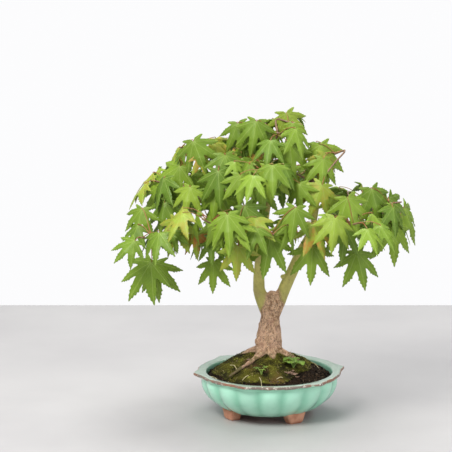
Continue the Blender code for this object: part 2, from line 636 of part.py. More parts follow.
def build_seedling(name, spot, clover):
    """A few round leaves on thin stalks that spring from one root, or a tuft of blades."""
    x, y = spot[0] * ROOT_SPREAD, spot[1] * ROOT_SPREAD
    angle = degrees(atan2(x, -y))
    root = Vector((x, y, mound(sqrt(x * x + y * y), angle) + MOSS_GAP + MOSS_THICK + SEAT))
    rods = [tube(name, [root, root + Vector((0, 0, 2.2))], [0.9, 0.9])]
    for turn, reach, lift in clover:
        way = around(turn, 1.0, 0)
        knee = root + way * reach * 0.55 + Vector((0, 0, 1.6 + lift))
        end = root + way * reach + Vector((0, 0, 1.6 + lift * 0.9))
        rods.append(tube("leaf", [root + Vector((0, 0, 1.6)), knee, end], [0.5, 0.6, 0.5], 1))
        disc = box("disc", (0, 0, 0), (4.4, 4.0, 0.8))
        disc.location = (end + way * 1.6) * MM
        disc.rotation_euler.z = radians(turn)
        rods.append(disc)
    return combine(rods[0], rods[1:], "UNION", solver="MANIFOLD")


def build():
    clear_scene()
    scene = bpy.context.scene
    parts = bpy.data.collections.new("bonsai")
    scene.collection.children.link(parts)

    glaze = material("glaze", (0.32, 0.62, 0.47), 0.18)
    plastic = material("drain_mesh", (0.02, 0.02, 0.02), 0.5)
    wire = material("wire", (0.45, 0.45, 0.45), 0.35, 1.0)
    earth = material("earth", (0.035, 0.022, 0.012), 0.95)
    moss_green = material("moss", (0.10, 0.12, 0.02), 0.95)
    bark = material("bark", (0.30, 0.20, 0.12), 0.85)
    green_bark = material("green_bark", (0.22, 0.24, 0.09), 0.6)
    leaf_green = material("leaf", (0.16, 0.33, 0.04), 0.5)
    seedling_green = material("seedling", (0.15, 0.42, 0.06), 0.5)

    def finish(thing, name, look):
        thing.name = name
        thing.data.name = name
        thing.data.materials.clear()
        thing.data.materials.append(look)
        for holder in list(thing.users_collection):
            holder.objects.unlink(thing)
        parts.objects.link(thing)
        return thing

    finish(build_pot(), "pot", glaze)
    for side, name in ((-1, "left"), (1, "right")):
        finish(build_drainage(side), "drain_mesh_" + name, plastic)
        finish(build_clip(side), "drain_clip_" + name, wire)

    cutters = trunk_rods(SEAT)
    soil = finish(build_soil(cutters), "soil", earth)
    moss = finish(build_moss(cutters), "moss", moss_green)
    rods = trunk_rods()
    trunk = finish(combine(rods[0], rods[1:], "UNION"), "trunk", bark)

    solids = [skin(soil), skin(moss), skin(trunk)]
    routes = {}
    for name, first, last, route in BRANCHES:
        count = len(route)
        near = skin(trunk)
        if "apex" in routes and name in ("left_high", "front_high", "back_high"):
            near = routes["apex"][2]
        points = settle_back([planted(p) for p in route], first, near)
        radii = [first + (last - first) * k / (count - 1) for k in range(count)]
        branch = finish(tube(name, points, radii), "branch_" + name, green_bark)
        routes[name] = (points, last, skin(branch))
        solids.append(routes[name][2])

    for name, spot, clover in SEEDLINGS:
        solids.append(skin(finish(build_seedling(name, spot, clover), name, seedling_green)))

    shoots = shoot_routes(routes, list(solids))
    grown = grow_leaves(shoots, solids)
    print("shoots", len(shoots), "leaves", len(grown))
    for k, (_, twig) in enumerate(shoots):
        leaves = [mesh_object("leaf", g["verts"], g["faces"]) for g in grown if g["shoot"] == k]
        if leaves:
            combine(twig, leaves, "UNION", solver="MANIFOLD")
        finish(twig, f"shoot_{k + 1:02d}", leaf_green)


build()
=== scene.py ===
import random
from math import atan2, cos, degrees, pi, radians, sin, sqrt

import bmesh
import bpy
from mathutils import Matrix, Vector
from mathutils.bvhtree import BVHTree
from mathutils.noise import noise


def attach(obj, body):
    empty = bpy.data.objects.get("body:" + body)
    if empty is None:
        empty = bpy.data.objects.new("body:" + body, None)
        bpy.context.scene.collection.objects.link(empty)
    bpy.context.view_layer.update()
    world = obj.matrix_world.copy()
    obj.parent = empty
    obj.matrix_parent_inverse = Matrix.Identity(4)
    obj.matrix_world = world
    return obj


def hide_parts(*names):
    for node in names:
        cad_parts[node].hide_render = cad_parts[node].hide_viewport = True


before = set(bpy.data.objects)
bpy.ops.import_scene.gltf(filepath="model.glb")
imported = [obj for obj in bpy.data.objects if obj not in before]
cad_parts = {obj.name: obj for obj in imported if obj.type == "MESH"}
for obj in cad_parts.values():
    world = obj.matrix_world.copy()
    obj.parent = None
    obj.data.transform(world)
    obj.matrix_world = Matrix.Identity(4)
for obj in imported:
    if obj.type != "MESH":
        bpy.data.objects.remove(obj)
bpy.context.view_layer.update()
bpy.ops.object.select_all(action="DESELECT")

# --------------------------------------
# Pot. Stoneware thrown in one piece: a bowl pressed into eighteen lobes under a flat flared lip
# with six points. Celadon glaze, thin and brown where the lip's edge has worn; the feet are bare.

MM = 0.001
POT_STEPS = 360
LOBES = 18
LOBE_DEPTH = 2.5
LIP_TOP = 43.0
LIP_POINT = 4.6
POINT_EVERY = 60
POINT_WIDTH = 15
FIRST_POINT = 40.0
BASE_Z = 6.5
FLOOR_Z = 11.5
HOLE_RADIUS = 6.0
HOLE_X = 19.0
FOOT_SIZE = (21.0, 11.5, 10.8)
FOOT_TOP = 10.4
FOOT_RING = 40.5
FOOT_ANGLES = (-60, 34, 124, 212)


def around(angle, radius, z):
    """A point in metres, at an angle in degrees from the front, to the right."""
    return Vector((sin(radians(angle)) * radius, -cos(radians(angle)) * radius, z)) * MM


def lobe(angle):
    """+0.4 on a lobe's crest, -0.6 in the groove between two, rounded off a little."""
    return sqrt(cos(radians(LOBES / 2 * angle)) ** 2 + 0.006) - 0.6


def lip_point(angle):
    """1 at a point of the lip, 0 between the points."""
    off = abs((angle - FIRST_POINT + POINT_EVERY / 2) % POINT_EVERY - POINT_EVERY / 2)
    return max(0.0, 1 - off / POINT_WIDTH) ** 1.4


def smooth_through(rows, pieces):
    """Rows of numbers drawn out into a smooth run through all of them."""
    run = []
    for k in range(len(rows) - 1):
        a, b, c, d = rows[max(k - 1, 0)], rows[k], rows[k + 1], rows[min(k + 2, len(rows) - 1)]
        for step in range(pieces):
            t = step / pieces
            run.append([0.5 * (2 * q + (r - p) * t + (2 * p - 5 * q + 4 * r - s) * t * t
                               + (3 * q - p - 3 * r + s) * t ** 3) for p, q, r, s in zip(a, b, c, d)])
    return run + [list(rows[-1])]


def new_mesh(name, verts, faces):
    mesh = bpy.data.meshes.new(name)
    mesh.from_pydata(verts, [], faces)
    mesh.validate()
    made = bpy.data.objects.new(name, mesh)
    bpy.context.scene.collection.objects.link(made)
    mesh.shade_smooth()
    return made


def loft(name, rings, start, end):
    """A skin over closed rings of points, from one middle point to the other."""
    steps = len(rings[0])
    verts = [start] + [p for ring in rings for p in ring] + [end]
    faces = []
    for k in range(steps):
        n = (k + 1) % steps
        faces.append((0, 1 + n, 1 + k))
        for row in range(len(rings) - 1):
            a = 1 + row * steps
            faces.append((a + k, a + n, a + steps + n, a + steps + k))
        last = 1 + (len(rings) - 1) * steps
        faces.append((last + k, last + n, len(verts) - 1))
    return new_mesh(name, verts, faces)


def taken_apart(thing):
    """The points and faces of an object, which is then removed."""
    verts = [list(v.co) for v in thing.data.vertices]
    faces = [tuple(p.vertices) for p in thing.data.polygons]
    bpy.data.objects.remove(thing, do_unlink=True)
    return verts, faces


def apply_to(thing, modifier):
    bpy.context.view_layer.objects.active = thing
    bpy.ops.object.modifier_apply(modifier=modifier.name)


def note(thing, name, values):
    """Writes one number a vertex for the thing's material to read."""
    layer = thing.data.attributes.new(name, "FLOAT", "POINT")
    layer.data.foreach_set("value", values)


def new_group(name, taken, given):
    """An empty shader node group with named sockets, and its two ends."""
    group = bpy.data.node_groups.new(name, "ShaderNodeTree")
    for label, kind in taken.items():
        group.interface.new_socket(name=label, in_out="INPUT", socket_type="NodeSocket" + kind)
    for label, kind in given.items():
        group.interface.new_socket(name=label, in_out="OUTPUT", socket_type="NodeSocket" + kind)
    return group, group.nodes.new("NodeGroupInput").outputs, group.nodes.new("NodeGroupOutput").inputs


def link_all(group, *pairs):
    for source, socket in pairs:
        group.links.new(source, socket)


def group_noise(group, taken):
    node = group.nodes.new("ShaderNodeTexNoise")
    node.inputs["Roughness"].default_value = 0.55
    link_all(group, (taken["Place"], node.inputs["Vector"]), (taken["Scale"], node.inputs["Scale"]),
             (taken["Detail"], node.inputs["Detail"]))
    return node.outputs["Fac"]


# fine grain: the normal of a surface that is a little rough
grain_group, taken, given = new_group(
    "fine_grain", dict(Place="Vector", Scale="Float", Detail="Float", Depth="Float", Strength="Float"),
    dict(Normal="Vector"))
rough = grain_group.nodes.new("ShaderNodeBump")
link_all(grain_group, (group_noise(grain_group, taken), rough.inputs["Height"]),
         (taken["Depth"], rough.inputs["Distance"]), (taken["Strength"], rough.inputs["Strength"]),
         (rough.outputs["Normal"], given["Normal"]))

# the Mix node's colour sockets have to be called by number
MIX_UNDER, MIX_OVER, MIX_COLOUR = 6, 7, 2

# mottling: one colour over another in soft patches, as strong as Share
mottle_group, taken, given = new_group(
    "mottling", dict(Place="Vector", Scale="Float", Detail="Float", Low="Float", High="Float",
                     Share="Float", Under="Color", Over="Color"), dict(Colour="Color"))
patches = mottle_group.nodes.new("ShaderNodeMapRange")
patches.interpolation_type = "SMOOTHSTEP"
blend = mottle_group.nodes.new("ShaderNodeMix")
blend.data_type = "RGBA"
link_all(mottle_group, (group_noise(mottle_group, taken), patches.inputs["Value"]),
         (taken["Low"], patches.inputs["From Min"]),
         (taken["High"], patches.inputs["From Max"]), (taken["Share"], patches.inputs["To Max"]),
         (patches.outputs["Result"], blend.inputs["Factor"]), (taken["Under"], blend.inputs[MIX_UNDER]),
         (taken["Over"], blend.inputs[MIX_OVER]), (blend.outputs[MIX_COLOUR], given["Colour"]))

# unevenness: a value made patchy by a noise, up and down by half of Amount
uneven_group, taken, given = new_group(
    "unevenness", dict(Base="Float", Noise="Float", Amount="Float"), dict(Mask="Float"))
centred, spread = (uneven_group.nodes.new("ShaderNodeMath") for _ in range(2))
centred.operation, spread.operation = "SUBTRACT", "MULTIPLY_ADD"
link_all(uneven_group, (taken["Noise"], centred.inputs[0]), (centred.outputs[0], spread.inputs[0]),
         (taken["Amount"], spread.inputs[1]), (taken["Base"], spread.inputs[2]),
         (spread.outputs[0], given["Mask"]))


class Look:
    """A material under construction: short names for the nodes that its pattern needs."""

    def __init__(self, name):
        self.material = bpy.data.materials.new(name)
        self.material.use_nodes = True
        self.tree = self.material.node_tree
        self.shader = self.tree.nodes["Principled BSDF"]
        self.place = self.tree.nodes.new("ShaderNodeTexCoord").outputs["Object"]

    def wire(self, source, socket):
        self.tree.links.new(source, socket)

    def feed(self, socket, value):
        if hasattr(value, "is_output"):
            self.wire(value, socket)
        elif isinstance(value, tuple):
            socket.default_value = (*value, 1.0)
        else:
            socket.default_value = value

    def attribute(self, name):
        node = self.tree.nodes.new("ShaderNodeAttribute")
        node.attribute_name = name
        return node.outputs["Fac"]

    def uv(self):
        return self.tree.nodes.new("ShaderNodeTexCoord").outputs["UV"]

    def noise(self, scale, detail=3.0, rough=0.55, warp=0.0, place=None):
        node = self.tree.nodes.new("ShaderNodeTexNoise")
        node.inputs["Scale"].default_value = scale
        node.inputs["Detail"].default_value = detail
        node.inputs["Roughness"].default_value = rough
        node.inputs["Distortion"].default_value = warp
        self.wire(place or self.place, node.inputs["Vector"])
        return node.outputs["Fac"]

    def use(self, group, **values):
        node = self.tree.nodes.new("ShaderNodeGroup")
        node.node_tree = group
        for label, value in values.items():
            self.feed(node.inputs[label], value)
        return node.outputs

    def grain(self, scale, depth, strength, detail=3.0):
        made = self.use(grain_group, Place=self.place, Scale=scale, Detail=detail, Depth=depth,
                        Strength=strength)
        return made["Normal"]

    def mottle(self, under, over, scale, low, high, share=1.0, detail=3.0):
        made = self.use(mottle_group, Place=self.place, Scale=scale, Detail=detail, Low=low, High=high,
                        Share=share, Under=under, Over=over)
        return made["Colour"]

    def uneven(self, base, noise_mask, amount):
        return self.use(uneven_group, Base=base, Noise=noise_mask, Amount=amount)["Mask"]

    def axes(self):
        node = self.tree.nodes.new("ShaderNodeSeparateXYZ")
        self.wire(self.place, node.inputs["Vector"])
        return node.outputs

    def cells(self, scale):
        node = self.tree.nodes.new("ShaderNodeTexVoronoi")
        node.inputs["Scale"].default_value = scale
        self.wire(self.place, node.inputs["Vector"])
        return node.outputs["Distance"]

    def stretch(self, scale):
        node = self.tree.nodes.new("ShaderNodeMapping")
        node.inputs["Scale"].default_value = scale
        self.wire(self.place, node.inputs["Vector"])
        return node.outputs["Vector"]

    def math(self, operation, a, b=0.0, c=0.0):
        node = self.tree.nodes.new("ShaderNodeMath")
        node.operation = operation
        for socket, value in zip(node.inputs, (a, b, c)):
            self.feed(socket, value)
        return node.outputs["Value"]

    def times(self, a, b):
        return self.math("MULTIPLY", a, b)

    def band(self, value, low, high):
        """0 below low, 1 above high, smooth between."""
        node = self.tree.nodes.new("ShaderNodeMapRange")
        node.interpolation_type = "SMOOTHSTEP"
        for socket, number in zip(("Value", "From Min", "From Max"), (value, low, high)):
            self.feed(node.inputs[socket], number)
        return node.outputs["Result"]

    def mix(self, share, a, b):
        node = self.tree.nodes.new("ShaderNodeMix")
        node.data_type = "RGBA"
        self.feed(node.inputs["Factor"], share)
        self.feed(node.inputs[MIX_UNDER], a)
        self.feed(node.inputs[MIX_OVER], b)
        return node.outputs[MIX_COLOUR]

    def bump(self, height, distance, strength, under=None):
        node = self.tree.nodes.new("ShaderNodeBump")
        node.inputs["Distance"].default_value = distance
        node.inputs["Strength"].default_value = strength
        self.feed(node.inputs["Height"], height)
        if under:
            self.wire(under, node.inputs["Normal"])
        return node.outputs["Normal"]

    def finish(self, colour, rough, normal, **plain):
        for name, value in (("Base Color", colour), ("Roughness", rough), ("Normal", normal)):
            self.feed(self.shader.inputs[name], value)
        for name, value in plain.items():
            self.shader.inputs[name.replace("_", " ")].default_value = value
        return self.material


def dress(thing, material):
    """Gives a finished piece its material and slot, and fixes it to the body."""
    thing.data.materials.clear()
    thing.data.materials.append(material)
    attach(thing, "root")


# radius, z, lobe depth, share of the lip's points, how near the lip's worn edge
pot_profile = [
    (37.0, 6.5, 0, 0, 0), (42.0, 7.6, 0.8, 0, 0), (50.5, 12.5, 1.7, 0, 0), (58.0, 19.2, 2.3, 0, 0),
    (62.4, 26.5, 2.5, 0, 0), (64.2, 33.0, 2.2, 0, 0), (64.2, 37.2, 1.4, 0, 0), (65.2, 38.8, 0.9, 0.3, 0),
    (67.0, 39.6, 0.8, 0.9, 0.35), (67.9, 40.5, 0.8, 1, 0.9), (68.0, 41.4, 0.8, 1, 1),
    (67.7, 42.4, 0.8, 1, 1), (66.9, 42.95, 0.8, 0.95, 0.6), (65.2, 43.0, 0.5, 0.6, 0.1),
    (62.5, 42.5, 0.1, 0.15, 0), (60.6, 42.2, 0, 0, 0), (59.7, 41.3, 0, 0, 0), (59.4, 39.0, 0, 0, 0),
    (59.2, 34.0, 0, 0, 0), (56.2, 25.0, 0, 0, 0), (48.4, 16.4, 0, 0, 0), (38.0, 11.5, 0, 0, 0),
]
pot_rings, pot_crest, pot_worn = [], [0.5], [0.0]
pot_angles = [k * 360 / POT_STEPS for k in range(POT_STEPS)]
for radius, z, depth, point, worn in smooth_through(pot_profile, 3):
    ring = []
    for angle in pot_angles:
        wobble = 0.35 * noise(around(angle, 90, z * 2) * 18)
        reach = radius + depth * lobe(angle) + point * LIP_POINT * lip_point(angle)
        reach += wobble * min(1, point + 0.3)
        lift = 0.35 * point * noise(around(angle, 70, 7) * 30) + 0.5 * point * lip_point(angle)
        ring.append(around(angle, reach, min(z + lift, LIP_TOP)))
        pot_crest.append(0.55 + 0.5 * depth / LOBE_DEPTH * lobe(angle) if depth > 0.9 else 0.5)
        pot_worn.append(worn)
    pot_rings.append(ring)
pot_crest.append(0.5)
pot_worn.append(0.0)
pot = loft("pot_body", pot_rings, Vector((0, 0, BASE_Z * MM)), Vector((0, 0, FLOOR_Z * MM)))
note(pot, "crest", pot_crest)
note(pot, "worn", pot_worn)
for side in (-1, 1):
    bpy.ops.mesh.primitive_cylinder_add(vertices=48, radius=HOLE_RADIUS * MM, depth=12 * MM,
                                        location=(side * HOLE_X * MM, 0, (BASE_Z + FLOOR_Z) / 2 * MM))
    punch = bpy.context.object
    cut = pot.modifiers.new("hole", "BOOLEAN")
    cut.operation, cut.solver, cut.object = "DIFFERENCE", "EXACT", punch
    apply_to(pot, cut)
    bpy.data.objects.remove(punch, do_unlink=True)
pot.data.shade_smooth()

glaze = Look("celadon_glaze")
mottle = glaze.noise(70, 4)
tone = glaze.uneven(glaze.attribute("crest"), mottle, 0.5)
green = glaze.mix(glaze.band(tone, 0.15, 0.85), (0.26, 0.62, 0.43), (0.45, 0.82, 0.63))
spots = glaze.band(glaze.cells(160), 0.06, 0.02)
green = glaze.mix(glaze.times(spots, 0.18), green, (0.10, 0.20, 0.13))
high = glaze.axes()["Z"]
# painted highlight: the flat top of the lip is painted paler, where the light from above falls on it
lip_top_highlight = glaze.band(high, 0.0408, 0.0424)
green = glaze.mix(glaze.times(lip_top_highlight, 0.85), green, (0.44, 0.52, 0.44))
edge = glaze.uneven(glaze.attribute("worn"), glaze.noise(95, 5), 1.6)
rust = glaze.mottle((0.19, 0.15, 0.12), (0.27, 0.125, 0.075), 60, 0.42, 0.6)
rust = glaze.mottle(rust, (0.60, 0.58, 0.50), 330, 0.55, 0.7)
green = glaze.mix(glaze.band(edge, 0.62, 0.86), green, rust)
clay_line = glaze.band(glaze.math("ADD", high, glaze.times(mottle, 0.0016)), 0.0088, 0.0078)
clay_colour = glaze.mix(mottle, (0.40, 0.17, 0.10), (0.55, 0.27, 0.17))
green = glaze.mix(clay_line, green, clay_colour)
gloss = glaze.math("ADD", 0.16, glaze.times(glaze.band(edge, 0.55, 0.9), 0.4))
gloss = glaze.math("ADD", gloss, glaze.times(clay_line, 0.55))
pinholes = glaze.bump(glaze.noise(420, 2), 0.0002, 0.35, under=glaze.grain(55, 0.0012, 0.5))
dress(pot, glaze.finish(green, gloss, pinholes, Coat_Weight=0.35, Coat_Roughness=0.08))
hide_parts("pot")

feet = []
for count, angle in enumerate(FOOT_ANGLES):
    bpy.ops.mesh.primitive_cube_add(size=1)
    foot = bpy.context.object
    foot.name = f"pot_foot_{count + 1}"
    foot.scale = [side * MM for side in FOOT_SIZE]
    bpy.ops.object.transform_apply(location=False, rotation=False, scale=True)
    bpy.ops.object.mode_set(mode="EDIT")
    bpy.ops.mesh.bevel(offset=2.2 * MM, segments=3, affect="EDGES")
    bpy.ops.mesh.subdivide(number_cuts=2)
    bpy.ops.object.mode_set(mode="OBJECT")
    outwards = [corner.normal.copy() for corner in foot.data.vertices]
    for corner, out in zip(foot.data.vertices, outwards):
        low = min(1.0, max(0.0, 0.5 - corner.co.z / (FOOT_SIZE[2] * MM)))
        corner.co.x *= 1.0 - 0.38 * low ** 1.3
        corner.co.y *= 1.0 - 0.10 * low
        corner.co += out * MM * 0.5 * noise(corner.co * 300 + Vector((count * 9, 0, 0)))
        height = corner.co.z + FOOT_SIZE[2] / 2 * MM
        corner.co.z = 0.0 if height < 0.5 * MM else min(height, FOOT_TOP * MM)
    foot.rotation_euler.z = radians(angle)
    foot.location = around(angle, FOOT_RING, 0)
    bpy.ops.object.transform_apply(location=True, rotation=True, scale=True)
    bpy.ops.object.shade_smooth()
    feet.append(foot)

clay = Look("bare_clay")
body_colour = clay.mottle((0.50, 0.20, 0.115), (0.66, 0.33, 0.21), 90, 0.35, 0.65)
body_colour = clay.mottle(body_colour, (0.75, 0.5, 0.36), 900, 0.55, 0.7, share=0.4, detail=4)
clay_material = clay.finish(body_colour, 0.85, clay.grain(900, 0.0004, 0.6, detail=4))
for foot in feet:
    dress(foot, clay_material)
    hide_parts("pot")
bpy.ops.object.select_all(action="DESELECT")

# --------------------------------------
# Drain mesh and staples. Squares of black plastic mesh over the two drain holes inside the pot,
# each held by a staple of bare wire whose legs are turned out under it.

plastic = Look("black_plastic")
plastic_material = plastic.finish(
    plastic.mottle((0.012, 0.012, 0.012), (0.03, 0.03, 0.028), 300, 0.2, 0.8),
    plastic.math("MULTIPLY_ADD", plastic.noise(600), 0.2, 0.4), plastic.grain(800, 0.0002, 0.3))
wire = Look("bare_wire")
wire_material = wire.finish(
    wire.mottle((0.40, 0.40, 0.41), (0.55, 0.55, 0.54), 500, 0.2, 0.8),
    wire.math("MULTIPLY_ADD", wire.noise(900), 0.25, 0.25), wire.grain(1500, 0.0001, 0.4), Metallic=1.0)
for side in ("left", "right"):
    for node, material in (("drain_mesh_" + side, plastic_material), ("drain_clip_" + side, wire_material)):
        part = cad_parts[node]
        part.data.materials.clear()
        part.data.materials.append(material)

# --------------------------------------
# Soil. A crumbly dark mix, heaped under the trunk, bare at the right and round the rim, with
# grains of it and a little grit lying loose on top.

MOUND_FOOT = 37.0
MOUND_RISE = 23.0
MOUND_RADIUS = 59.0
SOIL_RADIUS = 58.8
SOIL_BASE = 12.0
SOIL_GRAINS = 1500


def mound(radius, angle):
    """How high the planting is heaped."""
    rise = MOUND_RISE * (1 - (min(radius, MOUND_RADIUS) / MOUND_RADIUS) ** 1.6)
    return MOUND_FOOT + rise + 1.2 * sin(radians(2 * angle + 40)) * sin(pi * radius / MOUND_RADIUS)


def ground(radius, angle):
    """The height of the crumbly soil."""
    spot = around(angle, radius, 0)
    return mound(radius, angle) + 0.9 * noise(spot * 90) + 0.5 * noise(spot * 260)


soil_angles = [k * 2.5 for k in range(144)]
soil_rings = [[around(a, r, z) for a in soil_angles] for r, z in
              ((36.0, SOIL_BASE), (48.0, 16.6), (55.8, 25.2), (SOIL_RADIUS, 34.0))]
for step in range(31):
    reach = SOIL_RADIUS - step * 1.85
    soil_rings.append([around(a, reach, ground(reach, a)) for a in soil_angles])
soil = loft("soil_mound", soil_rings, Vector((0, 0, SOIL_BASE * MM)), around(0, 0, ground(0, 0)))

chance = random.Random(3)
grain_verts, grain_faces = taken_apart(soil)
grain_tone = [0.3] * len(grain_verts)
bpy.ops.mesh.primitive_ico_sphere_add(subdivisions=1, radius=1)
pebble_verts, pebble_faces = taken_apart(bpy.context.object)
for count in range(SOIL_GRAINS):
    angle = chance.uniform(0, 360)
    reach = 58.0 - 24 * abs(chance.gauss(0, 0.55))
    if not 20 < reach < 58.5:
        continue
    size = chance.uniform(0.35, 1.1) * (1.5 if chance.random() < 0.06 else 1)
    centre = around(angle, reach, ground(reach, angle) + size * 0.3)
    first = len(grain_verts)
    for x, y, z in pebble_verts:
        x, y, z = x * chance.uniform(0.7, 1.2), y * chance.uniform(0.7, 1.2), z * chance.uniform(0.6, 1.0)
        grain_verts.append(list(centre + Vector((x, y, z)) * size * MM))
    grain_faces += [tuple(first + i for i in face) for face in pebble_faces]
    grain_tone += [chance.random() ** 1.5] * len(pebble_verts)
soil = new_mesh("soil_mound", grain_verts, grain_faces)
note(soil, "tone", grain_tone)

earth = Look("potting_soil")
lump = earth.noise(700, 5, 0.65)
earth_tone = earth.uneven(earth.attribute("tone"), lump, 0.8)
earth_colour = earth.mix(earth.band(earth_tone, 0.1, 0.8), (0.007, 0.004, 0.002), (0.060, 0.036, 0.020))
earth_colour = earth.mix(earth.band(earth_tone, 0.86, 1.05), earth_colour, (0.22, 0.17, 0.12))
earth_bump = earth.bump(earth.cells(900), 0.0006, 0.8, under=earth.bump(lump, 0.001, 0.8))
dress(soil, earth.finish(earth_colour, 0.92, earth_bump, Specular_IOR_Level=0.15))
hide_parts("soil")

# --------------------------------------
# Moss. Cushions of short moss that have grown together over the mound, thick and olive near the
# trunk, thin and dark towards the rim; its shoots are separate fine points.

MOSS_SHOOTS = 14000
BARE_SIDE = 78
TUFT_CORNERS = 3


def moss_edge(angle):
    """How far out the moss reaches."""
    bare = max(0.0, cos(radians(angle - BARE_SIDE)))
    return 53.0 - 13.0 * bare ** 2 + 1.6 * sin(radians(7 * angle))


def moss_height(share, angle):
    """The height of the moss at a share of the way out to its edge."""
    spot = around(angle, moss_edge(angle) * share, 0)
    cushion = 1.5 + 1.4 * noise(spot * 75) + 0.8 * noise(spot * 190)
    under = mound(moss_edge(angle) * share, angle)
    return under + 0.4 + max(0.25, cushion) * min(1.0, 4.5 * (1 - share)) + 0.5


def top_of(x, y):
    """The height of whatever lies on the mound at a place, soil or moss."""
    reach, where = sqrt(x * x + y * y), degrees(atan2(x, -y))
    if reach > moss_edge(where):
        return ground(reach, where)
    return moss_height(reach / moss_edge(where), where)


moss_rings = [[around(a, moss_edge(a) * s, mound(moss_edge(a) * s, a) - 0.6) for a in soil_angles]
              for s in (0.2, 0.6, 0.96)]
for step in range(36):
    share = 1.0 - step * 0.0265
    moss_rings.append([around(a, moss_edge(a) * share, moss_height(share, a)) for a in soil_angles])
cushion = loft("moss_cushion", moss_rings, around(0, 0, mound(0, 0) - 0.6), around(0, 0, mound(0, 0) + 2))
moss_verts, moss_faces = taken_apart(cushion)
moss_tone_and_shading = [0.35 + 0.4 * noise(Vector(v) * 120) for v in moss_verts]
chance = random.Random(8)
for count in range(MOSS_SHOOTS):
    angle, share = chance.uniform(0, 360), sqrt(chance.uniform(0.02, 1.0))
    foot_of = around(angle, moss_edge(angle) * share, moss_height(share, angle) - 0.3)
    tall = chance.uniform(0.8, 2.0) * (0.6 + 0.6 * (1 - share))
    lean = Vector((chance.gauss(0, 0.4), chance.gauss(0, 0.4), 1)).normalized()
    wide = chance.uniform(0.2, 0.42) * MM
    dead = count % 22 == 0
    if dead:
        tall, wide = chance.uniform(2.0, 5.0), 0.22 * MM
        lean = Vector((chance.gauss(0, 1), chance.gauss(0, 1), 0.35)).normalized()
    turn = chance.uniform(0, 2 * pi)
    first = len(moss_verts)
    for corner in range(TUFT_CORNERS):
        a = turn + corner * 2 * pi / TUFT_CORNERS
        moss_verts.append(list(foot_of + Vector((cos(a), sin(a), 0)) * wide))
    moss_verts.append(list(foot_of + lean * tall * MM))
    tip = first + TUFT_CORNERS
    moss_faces += [(first, first + 1, tip), (first + 1, first + 2, tip), (first + 2, first, tip)]
    shade = 0.38 + 0.35 * noise(foot_of * 120) + 0.55 * noise(foot_of * 420)
    shade += chance.gauss(0, 0.18)
    # painted shade and highlight: each shoot is painted darker at its foot, down in the cushion, and lighter
    # at its tip
    moss_tone_and_shading += [2.0] * 4 if dead else [shade - 0.3] * 3 + [shade + 0.2]
moss = new_mesh("moss_carpet", moss_verts, moss_faces)
note(moss, "tone", moss_tone_and_shading)

mossy = Look("moss")
# the tone read here holds the moss's own uneven tone and also the shoots' painted shade and highlight
moss_own = mossy.attribute("tone")
tuft = mossy.uneven(moss_own, mossy.noise(60, 3), 0.7)
moss_colour = mossy.mix(mossy.band(tuft, 0.1, 0.55), (0.012, 0.010, 0.002), (0.085, 0.080, 0.008))
moss_colour = mossy.mix(mossy.band(tuft, 0.5, 0.95), moss_colour, (0.26, 0.25, 0.035))
moss_colour = mossy.mottle(moss_colour, (0.12, 0.06, 0.025), 34, 0.56, 0.70, share=0.6, detail=4)
moss_colour = mossy.mottle(moss_colour, (0.33, 0.36, 0.06), 330, 0.60, 0.70, share=0.7)
moss_colour = mossy.mix(mossy.band(moss_own, 1.6, 1.9), moss_colour, (0.38, 0.30, 0.14))
moss_grain = mossy.grain(900, 0.0005, 0.6)
dress(moss, mossy.finish(moss_colour, 0.9, moss_grain, Specular_IOR_Level=0.2))
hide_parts("moss")

# --------------------------------------
# Wood. Trunk, surface roots, the two limbs and their branches are one piece of living wood: rough
# pinkish bark low down, smooth olive bark on the limbs, red-brown on the thin branches.

WELD = 0.002 * MM
BRANCH_BASE = 5.5 * MM
BRANCH_SUNK = 1.5 * MM
WOOD_GRID = 0.75 * MM
OLD_BARK_TOP = 100
FORK_BARK = 19
LIMB_TOP = 182


def clean_copy(node):
    """The welded mesh of a CAD node."""
    work = bmesh.new()
    work.from_mesh(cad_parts[node].data)
    bmesh.ops.remove_doubles(work, verts=work.verts, dist=WELD)
    return work


def skin_of(node):
    """A CAD node's surface, to find the nearest point on."""
    work = clean_copy(node)
    made = BVHTree.FromBMesh(work)
    work.free()
    return made


branches = sorted(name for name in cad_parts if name.startswith("branch_"))
trunk_skin, apex_skin = skin_of("trunk"), skin_of("branch_apex")
wood_parts = []
for node in ["trunk"] + branches:
    work = clean_copy(node)
    if node != "trunk":
        for corner in work.verts:
            for parent in (trunk_skin, apex_skin):
                spot, _, _, gap = parent.find_nearest(corner.co)
                own = parent is apex_skin and node == "branch_apex"
                if 0.05 * MM < gap < BRANCH_BASE and not own:
                    corner.co += (spot - corner.co).normalized() * (gap + BRANCH_SUNK)
                    break
    mesh = bpy.data.meshes.new(node)
    work.to_mesh(mesh)
    work.free()
    part = bpy.data.objects.new("wood_" + node, mesh)
    bpy.context.scene.collection.objects.link(part)
    wood_parts.append(part)
# an old pruning knob inside the right limb, and cut stubs
for spot, way, size, reach in (
        ((13.5, -2.0, 133), (-1, -0.4, 0.4), 2.6, 2.2), ((29.5, -4.5, 151), (0.5, -0.8, 0.5), 2.6, 3.6),
        ((-13, -3, 128), (-0.7, -0.7, 0.3), 1.6, 1.2), ((6, -8.5, 90), (0.4, -1, 0.2), 2.6, 1.4),
        ((-10, -6, 72), (-0.6, -0.8, 0.1), 4.2, 1.6), ((9, 3, 70), (1, 0.2, 0), 3.6, 1.4),
        ((-8, 2, 86), (-1, 0, 0.2), 2.6, 1.0), ((7, -5, 66), (0.7, -0.7, 0), 4.5, 1.5)):
    way = Vector(way).normalized()
    bpy.ops.mesh.primitive_uv_sphere_add(segments=16, ring_count=10, radius=size * MM,
                                         location=Vector(spot) * MM)
    knob = bpy.context.object
    for corner in knob.data.vertices:
        along = corner.co.dot(way)
        corner.co += way * max(0, along) * (reach / size - 0.4)
    wood_parts.append(knob)
bpy.ops.object.select_all(action="DESELECT")
